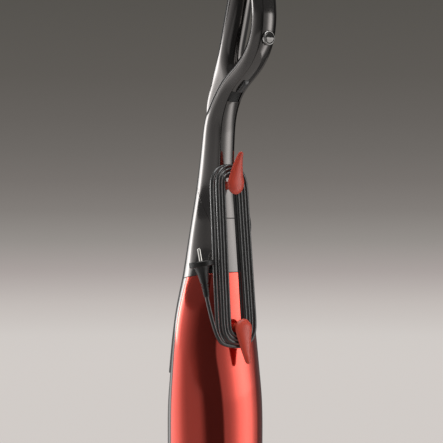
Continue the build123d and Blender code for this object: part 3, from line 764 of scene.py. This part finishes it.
# Turns of the winding: how far in from its edge and out from its middle plane, back ones first
TURNS = [
    (0.0, -3.1), (6.1, -3.1), (12.0, -3.1), (18.2, -2.8), (18.0, 3.0), (12.0, 3.1), (6.2, 3.1),
    (0.3, 3.1),
]
TURN_POINTS = 24
FOOT_SPREAD = 7.0         # the -X run stands further out towards its foot


def turn_point(share, inward):
    """Place on a turn: down the -X side, round the foot, up the +X side and over the top."""
    half = COIL_W / 2 - CORD_D / 2 - inward
    straight = COIL_H / 2 - CORD_D / 2 - inward - half
    quarter, along = divmod(share * 4, 1)
    if quarter == 0:
        return -half, straight * (1 - 2 * along)
    if quarter == 2:
        return half, straight * (2 * along - 1)
    angle = math.radians(180 * along - 90)
    if quarter == 1:
        return half * math.sin(angle), -straight - half * math.cos(angle)
    return -half * math.sin(angle), straight + half * math.cos(angle)


def coil_points():
    """Turns wound round the two hooks, from the back to the front."""
    points = []
    for (inward, out), after in zip(TURNS, TURNS[1:] + TURNS[-1:]):
        lazy = random.uniform(-0.5, 0.5), random.uniform(-0.4, 0.4)
        for j in range(TURN_POINTS):
            share = j / TURN_POINTS
            if after == (inward, out) and share > 0.41:
                return points
            step = max(0.0, share * 4 - 3)
            x, up = turn_point(share, inward + (after[0] - inward) * step)
            slack = math.sin(2 * math.pi * share)
            x += lazy[0] * slack
            if x < 0:
                x -= FOOT_SPREAD * min(1.0, max(0.0, 0.5 - up / COIL_H)) ** 1.3
            o = out + (after[1] - out) * step + lazy[1] * math.cos(4 * math.pi * share)
            points.append(COIL_MID + Vector((x, 0, 0)) + UP * up + OUT * o)


def nurbs(name, points, diameter, material, body="cleaner", resolution=6):
    data = bpy.data.curves.new(name, "CURVE")
    data.dimensions = "3D"
    line = data.splines.new("NURBS")
    line.points.add(len(points) - 1)
    for point, at in zip(line.points, points):
        point.co = (*(Vector(at) * MM), 1.0)
    line.order_u = 3
    line.use_endpoint_u = True
    data.resolution_u = resolution
    data.bevel_depth = diameter / 2 * MM
    data.bevel_resolution = 5
    data.use_fill_caps = True
    return link(bpy.data.objects.new(name, data), material, body)


def cord():
    """The whole mains cord on one curve: lead, turns on the hooks, tail to the plug."""
    points = [Vector(p) for p in LEAD] + coil_points() + [Vector(p) for p in reversed(TAIL)]
    obj = nurbs("mains_cord", points, CORD_D, "cord")
    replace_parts(obj, "cord_coil", "cord_tail", "cord_lead")
    obj.visible_glossy = False
    return obj


MAINS_CORD = cord()


# ---- hooks --------------------------------------------------------------------------------------
HOOK_R, HOOK_TIP_R = 15.4, 4.4
HOOK_RINGS = [            # share of the outline, and height above the back
    (0.0, 8.6), (0.25, 8.45), (0.45, 8.0), (0.62, 7.3), (0.76, 6.3), (0.87, 5.1), (0.95, 3.7),
    (0.99, 2.6), (1.0, 1.7), (0.985, 0.8), (0.93, 0.2), (0.8, 0.0), (0.0, 0.0),
]
POST_R = 6.2
POST_REACH = COIL_DEPTH + 10


def teardrop(lobe_v, tip_v, count=40):
    """Outline points of a plate with, for each, the nearest point on its middle line."""
    way = math.copysign(1, tip_v - lobe_v)
    tip_c = tip_v - way * HOOK_TIP_R
    span = abs(tip_c - lobe_v)
    tangent = math.acos((HOOK_R - HOOK_TIP_R) / span)
    points = []
    for t in steps(-tangent, tangent, 14):
        points.append((HOOK_TIP_R * math.sin(t), tip_c + way * HOOK_TIP_R * math.cos(t)))
    for t in steps(tangent, 2 * math.pi - tangent, count):
        points.append((HOOK_R * math.sin(t), lobe_v + way * HOOK_R * math.cos(t)))
    extra = []
    for (x0, v0), (x1, v1) in zip(points, points[1:] + points[:1]):
        extra.append((x0, v0))
        gap = math.hypot(x1 - x0, v1 - v0)
        parts = int(gap // 2.5)
        extra += [(x0 + (x1 - x0) * k / (parts + 1), v0 + (v1 - v0) * k / (parts + 1))
                  for k in range(1, parts + 1)]
    low, high = sorted((lobe_v, tip_c))
    return [(x, v, min(max(v, low), high)) for x, v in extra]


def hook(name, node, body, z, lobe_v, tip_v, shift, flare):
    """Pillow-shaped teardrop on a post; its plate sits `shift` off the post's line."""
    along = (z - COIL_Z[0]) / (COIL_Z[1] - COIL_Z[0])
    origin = Vector((0, COIL_FOOT_Y + (COIL_TOP_Y - COIL_FOOT_Y) * along, z)) \
        + OUT * (COIL_DEPTH / 2 + 0.5)
    start, end = lobe_v + math.copysign(HOOK_R, lobe_v - tip_v), tip_v

    def place(x, v, w):
        t = min(max((v - start) / (end - start), 0.0), 1.0)
        return origin + Vector((x + shift, 0, 0)) + UP * v + OUT * (w + flare * t ** 2.2)

    outline = teardrop(lobe_v, tip_v)
    rows = []
    for share, height in HOOK_RINGS:
        row = []
        for x, v, middle in outline:
            local = HOOK_TIP_R + (HOOK_R - HOOK_TIP_R) * (1 - abs(middle - lobe_v)
                                                          / abs(tip_v - lobe_v))
            row.append(place(x * share, middle + (v - middle) * share,
                             height * (0.45 + 0.55 * local / HOOK_R)))
        rows.append(row)
    bm = grid(rows, closed=True, flip=(tip_v > lobe_v))
    bmesh.ops.remove_doubles(bm, verts=bm.verts, dist=0.02)
    turn = steps(0, 2 * math.pi, 49)[:-1]
    post = [[origin + Vector((r * math.sin(t), 0, 0)) + UP * (r * math.cos(t)) + OUT * w
             for t in turn]
            for r, w in ((POST_R + 2, 2.0), (POST_R + 1, 0.2), (POST_R + 0.3, -1.4),
                         (POST_R, -3.0), (POST_R, -POST_REACH))]
    grid(post, closed=True, bm=bm)
    bmesh.ops.recalc_face_normals(bm, faces=bm.faces)
    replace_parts(mesh_piece(name, bm, "hook_red", body), node)


hook("hook_top", "cord_hook_top", "hook", HOOK_TOP_Z, 1.0, 47.5, 0.6, 16.5)
hook("hook_low", "cord_hook_low", "cleaner", HOOK_LOW_Z, -3.5, -55.0, -3.6, 8.0)


# ---- power button -------------------------------------------------------------------------------
def lathe_rows(profile, count=64):
    """Rings about the button's axis: radius and distance behind the face."""
    return [[Vector((r * math.cos(t), BUTTON_FACE_Y - y, BUTTON_Z + r * math.sin(t)))
             for t in steps(0, 2 * math.pi, count + 1)[:-1]] for r, y in profile]


def power_button():
    """Domed cap that moves, and the bright ring round it."""
    rows = lathe_rows([(0.01, 0.4), (2, 0.4), (4, 0.4), (5.5, 0.4), (6.8, 0.4), (7.6, 0.5),
                       (7.9, 0.8), (7.9, 1.4), (7.2, 2.2), (7.2, 5.0), (2.5, 5.0), (2.5, 9.0)])
    for row in rows[:6]:
        for p in row:
            p.y += BUTTON_DOME * (1 - ((p.z - BUTTON_Z) / BUTTON_R) ** 2)
    bm = grid(rows, closed=True)
    bmesh.ops.recalc_face_normals(bm, faces=bm.faces)
    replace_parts(mesh_piece("power_cap", bm, "button_dark", "power"),
                "power_button")
    bm = grid(lathe_rows([(8.35, 4.0), (8.35, 0.2), (8.6, -0.5), (9.1, -0.9), (9.7, -0.7),
                          (10.3, 0.1), (10.6, 1.4), (10.6, 3.6)]), closed=True)
    bmesh.ops.recalc_face_normals(bm, faces=bm.faces)
    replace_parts(mesh_piece("button_ring", bm, "button_chrome", "cleaner"),
                "button_bezel")


power_button()


# ---- floor head details -------------------------------------------------------------------------
BRUSH_T = 4.0
TUFT_GAP = 1.6
TREAD_DEPTH = 0.55


def bristles():
    """Tufts of bristles standing close in rows, in place of the plain strips."""
    low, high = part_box("brush_strips")
    bm = bmesh.new()
    z0, z1 = low[2] / MM, high[2] / MM
    y_low, y_high = low[1] / MM, high[1] / MM
    x_half = high[0] / MM
    rows = ((y_low + BRUSH_T / 2, -x_half, x_half), (y_high - BRUSH_T / 2, -x_half, -20),
            (y_high - BRUSH_T / 2, 20, x_half))
    for y, x0, x1 in rows:
        for k in range(int((x1 - x0 - 2) / TUFT_GAP)):
            x = x0 + 1.2 + TUFT_GAP * k
            for dy in (-1.0, 0.0, 1.0):
                base = Vector((x + random.uniform(-0.2, 0.2), y + dy, z1))
                tip = Vector((base.x + random.uniform(-0.5, 0.5), y + dy * 1.15, z0))
                turn = [math.radians(a) for a in (0, 120, 240)]
                ring = [[c + Vector((r * math.cos(t), r * math.sin(t), 0)) for t in turn]
                        for c, r in ((base, 0.42), (base.lerp(tip, 0.6), 0.38), (tip, 0.16))]
                grid(ring, closed=True, bm=bm)
    bmesh.ops.recalc_face_normals(bm, faces=bm.faces)
    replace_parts(mesh_piece("bristle_rows", bm, "bristle", "brush", smooth=False),
                "brush_strips")


def tyre(tag):
    """Tyre with a rounded shoulder and a ribbed tread."""
    low, high = (Vector(c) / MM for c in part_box(f"tyre_{tag}"))
    centre = (low + high) / 2
    radius, width = (high.z - low.z) / 2, high.x - low.x
    profile = [(-0.5, 0.82), (-0.5, 0.90), (-0.46, 0.95), (-0.40, 0.98), (-0.36, 1.0),
               (-0.1, 1.0), (0.1, 1.0), (0.36, 1.0), (0.40, 0.98), (0.46, 0.95), (0.5, 0.90),
               (0.5, 0.82)]
    rows = []
    for x, r in profile:
        row = []
        for k in range(216):
            t = 2 * math.pi * k / 216
            notch = TREAD_DEPTH if r == 1.0 and k % 6 in (0, 1) else 0.0
            reach = radius * r - notch
            row.append(Vector((centre.x + x * width, centre.y + reach * math.cos(t),
                               centre.z + reach * math.sin(t))))
        rows.append(row)
    bm = grid(rows + rows[:1], closed=True)
    bmesh.ops.remove_doubles(bm, verts=bm.verts, dist=0.001)
    bmesh.ops.recalc_face_normals(bm, faces=bm.faces)
    piece = mesh_piece(f"tyre_tread_{tag}", bm, "wheel_tyre", f"wheel_{tag}")
    piece.data.set_sharp_from_angle(angle=math.radians(35))
    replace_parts(piece, f"tyre_{tag}")


bristles()
tyre("left")
tyre("right")


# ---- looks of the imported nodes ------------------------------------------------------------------
NODE_LOOKS = {"plug_body": "plug_black", "plug_relief": "plug_black", "cord_gland": "plug_black",
              "power_button": "button_dark"}
SOFT_EDGES = {"head_shell": 0.8, "bumper": 0.6, "sole_plate": 0.5, "pedal": 0.5, "cup_lid": 0.5,
              "plug_body": 0.5, "neck_tube": 0.4, "neck_collar": 0.5, "base_cover": 0.5,
              "exhaust_door": 0.3, "release_button": 0.5, "dust_cup": 0.4}


def dress_nodes():
    """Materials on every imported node, and small rounded edges on the larger ones."""
    for part in frame["record"]["subparts"]:
        name = part["node"]
        obj = NODES[name]
        obj.data.materials.clear()
        obj.data.materials.append(MATERIALS[NODE_LOOKS.get(name, part["material_slot"])])
        if name in SOFT_EDGES:
            rounded(obj, SOFT_EDGES[name], segments=3, angle=40.0)


dress_nodes()


# ---- stage and light ----------------------------------------------------------------------------
WARM = (1.0, 0.985, 0.97)


def stage_mesh(name, rows, material):
    data = bpy.data.meshes.new(name)
    bm = grid(rows, closed=True)
    bm.to_mesh(data)
    bm.free()
    for face in data.polygons:
        face.use_smooth = True
    data.materials.append(material)
    obj = bpy.data.objects.new(name, data)
    bpy.context.scene.collection.objects.link(obj)
    return obj


def circle_rows(profile, count=120):
    return [[(r * math.cos(t), r * math.sin(t), z) for t in steps(0, 2 * math.pi, count + 1)[:-1]]
            for r, z in profile]


def maths(nodes, links, operation, first, second=None):
    node = nodes.new("ShaderNodeMath")
    node.operation = operation
    links.new(first, node.inputs[0])
    if isinstance(second, (int, float)):
        node.inputs[1].default_value = second
    elif second is not None:
        links.new(second, node.inputs[1])
    return node.outputs[0]


def glowing(name):
    """Empty emission material: nodes, links, the emission shader and its object coordinates."""
    mat = bpy.data.materials.new(name)
    mat.use_nodes = True
    nodes, links = mat.node_tree.nodes, mat.node_tree.links
    nodes.clear()
    out = nodes.new("ShaderNodeOutputMaterial")
    glow = nodes.new("ShaderNodeEmission")
    links.new(glow.outputs[0], out.inputs[0])
    split = nodes.new("ShaderNodeSeparateXYZ")
    links.new(nodes.new("ShaderNodeTexCoord").outputs["Object"], split.inputs[0])
    return mat, nodes, links, glow, split.outputs


FLOOR_TONE = (0.640, 0.602, 0.576)
WALL_H = 2.2
# Backdrop tones, painted shade on a glowing wall that darkens with height: height in metres and
# brightness
WALL_PAINTED_SHADE = [
    (0.0, 0.640, 0.602, 0.576), (0.10, 0.628, 0.592, 0.566), (0.26, 0.539, 0.497, 0.474),
    (0.427, 0.402, 0.361, 0.347), (0.593, 0.296, 0.275, 0.258), (0.759, 0.223, 0.205, 0.191),
    (0.925, 0.181, 0.165, 0.153), (1.09, 0.153, 0.141, 0.130), (1.26, 0.133, 0.122, 0.112),
    (1.5, 0.112, 0.103, 0.093), (1.92, 0.093, 0.087, 0.078),
]
FADE = (1.5, 2.7)      # radius at which the lit floor turns into the even backdrop


def stage():
    """Lit floor that fades into an even glow, and a glowing backdrop with painted shade, darker
    towards its top, both outside the object's own light.
    """
    mat, nodes, links, shader, _ = new_material("stage_floor")
    shader.inputs["Base Color"].default_value = (0.60, 0.58, 0.565, 1)
    shader.inputs["Roughness"].default_value = 0.85
    shader.inputs["Specular IOR Level"].default_value = 0.1
    glow = nodes.new("ShaderNodeEmission")
    glow.inputs["Color"].default_value = (*FLOOR_TONE, 1)
    split = nodes.new("ShaderNodeSeparateXYZ")
    links.new(nodes.new("ShaderNodeTexCoord").outputs["Object"], split.inputs[0])
    square = maths(nodes, links, "ADD", maths(nodes, links, "POWER", split.outputs["X"], 2.0),
                   maths(nodes, links, "POWER", split.outputs["Y"], 2.0))
    reach = nodes.new("ShaderNodeMapRange")
    reach.interpolation_type = "SMOOTHSTEP"
    reach.inputs["From Min"].default_value = FADE[0]
    reach.inputs["From Max"].default_value = FADE[1]
    links.new(maths(nodes, links, "SQRT", square), reach.inputs["Value"])
    mix = nodes.new("ShaderNodeMixShader")
    links.new(reach.outputs[0], mix.inputs[0])
    links.new(shader.outputs[0], mix.inputs[1])
    links.new(glow.outputs[0], mix.inputs[2])
    links.new(mix.outputs[0], nodes["Material Output"].inputs[0])
    floor = stage_mesh("floor", circle_rows([(0.001, 0), (0.5, 0), (1.5, 0), (3, 0), (6, 0)]), mat)
    floor.visible_glossy = False

    # backdrop: glows with painted shade, bright at its foot and darker with height
    mat, nodes, links, glow, axes = glowing("stage_wall")
    share = maths(nodes, links, "DIVIDE", axes["Z"], WALL_H)
    tones = ramp(nodes, links, share, [(z / WALL_H, tone) for z, *tone in WALL_PAINTED_SHADE])
    links.new(tones, glow.inputs["Color"])
    wall = stage_mesh("backdrop", circle_rows([(6, 0), (6.3, 0.03), (6.6, 0.12), (6.8, 0.3),
                                               (6.9, 0.6), (7, 6)]), mat)
    for ray in ("visible_diffuse", "visible_glossy", "visible_transmission", "visible_shadow"):
        setattr(wall, ray, False)


def azimuth_ramp(nodes, links, x, y, stops):
    """Brightness by direction round the object: (degrees from +X, level)."""
    share = nodes.new("ShaderNodeMapRange")
    share.inputs["From Min"].default_value = -math.pi
    share.inputs["From Max"].default_value = math.pi
    links.new(maths(nodes, links, "ARCTAN2", y, x), share.inputs["Value"])
    top = max(level for _, level in stops)
    tones = ramp(nodes, links, share.outputs[0],
                 [((a + 180) / 360, tuple(level / top * w for w in WARM)) for a, level in stops])
    return tones, top


# Soft boxes round the object, low beside the body and high beside the handle: direction in
# degrees from +X and brightness
LOW_BOXES = [
    (-180, 0.10), (-120, 0.12), (-92, 0.25), (-82, 1.3), (-57, 1.40), (-38, 1.05),
    (-22, 0.50), (-9, 0.33), (26, 0.32), (34, 0.20), (42, 0.05), (84, 0.05), (98, 0.27),
    (110, 0.38), (117, 0.65), (124, 1.3), (130, 1.7), (136, 2.0), (143, 1.6), (150, 0.6),
    (158, 0.2), (180, 0.10),
]
HIGH_BOXES = [
    (-180, 0.10), (-120, 0.08), (-94, 0.25), (-85, 3.2), (-74, 4.6), (-61, 3.8), (-52, 1.8),
    (-40, 0.85), (-22, 0.55), (-9, 0.36), (12, 0.18), (32, 0.06), (84, 0.05), (98, 0.30),
    (110, 0.45), (117, 0.80), (124, 1.7), (130, 2.3), (136, 2.6), (143, 2.1), (150, 0.8),
    (158, 0.2), (180, 0.10),
]
STUDIO_R = 2.4
STUDIO_Z = (-1.2, 1.3)
CHANGE_Z = (0.605, 0.65)      # heights between which the low boxes give way to the high ones


def studio():
    """Tall soft boxes round the object, seen only in its gloss, and a dim room above them."""
    mat, nodes, links, glow, axes = glowing("soft_boxes")
    low, low_top = azimuth_ramp(nodes, links, axes["X"], axes["Y"], LOW_BOXES)
    high, high_top = azimuth_ramp(nodes, links, axes["X"], axes["Y"], HIGH_BOXES)
    glow.inputs["Strength"].default_value = low_top
    links.new(low, glow.inputs["Color"])
    upper = nodes.new("ShaderNodeEmission")
    upper.inputs["Strength"].default_value = high_top
    links.new(high, upper.inputs["Color"])
    rise = nodes.new("ShaderNodeMapRange")
    rise.inputs["From Min"].default_value, rise.inputs["From Max"].default_value = CHANGE_Z
    links.new(axes["Z"], rise.inputs["Value"])
    mix = nodes.new("ShaderNodeMixShader")
    links.new(rise.outputs[0], mix.inputs[0])
    links.new(glow.outputs[0], mix.inputs[1])
    links.new(upper.outputs[0], mix.inputs[2])
    links.new(mix.outputs[0], nodes["Material Output"].inputs[0])
    ring = stage_mesh("soft_boxes", circle_rows([(STUDIO_R, STUDIO_Z[0]), (STUDIO_R, STUDIO_Z[1])]),
                      mat)
    ring.visible_camera = False
    ring.visible_shadow = False

    world = bpy.data.worlds.new("studio")
    world.use_nodes = True
    nodes, links = world.node_tree.nodes, world.node_tree.links
    nodes.clear()
    out = nodes.new("ShaderNodeOutputWorld")
    back = nodes.new("ShaderNodeBackground")
    split = nodes.new("ShaderNodeSeparateXYZ")
    links.new(nodes.new("ShaderNodeTexCoord").outputs["Generated"], split.inputs[0])
    height = nodes.new("ShaderNodeMapRange")
    height.inputs["From Min"].default_value = -1.0
    links.new(split.outputs["Z"], height.inputs["Value"])
    links.new(ramp(nodes, links, height.outputs[0], [
        (0.0, (0.40, 0.39, 0.38)), (0.40, (0.34, 0.33, 0.32)), (0.5, (0.10, 0.10, 0.10)),
        (0.75, (0.14, 0.14, 0.14)), (0.9, (0.35, 0.35, 0.34)), (1.0, (0.45, 0.45, 0.44))]),
        back.inputs["Color"])
    links.new(back.outputs[0], out.inputs[0])
    bpy.context.scene.world = world


def area_light(name, place, aim, size, power):
    data = bpy.data.lights.new(name, "AREA")
    data.shape = "RECTANGLE"
    data.size, data.size_y = size
    data.energy = power
    obj = bpy.data.objects.new(name, data)
    obj.location = place
    obj.rotation_euler = (Vector(aim) - Vector(place)).to_track_quat("-Z", "Y").to_euler()
    bpy.context.scene.collection.objects.link(obj)
    return obj


def around(azimuth, distance, height):
    a = math.radians(azimuth)
    return (distance * math.cos(a), distance * math.sin(a), height)


stage()
studio()
area_light("edge_strip", around(-68, 2.2, 1.35), (0, 0, 1.0), (0.42, 1.45), 3)
area_light("overhead", (0, 0, 3.4), (0, 0, 0), (2.6, 2.6), 55)
bpy.context.scene.view_settings.view_transform = "Standard"
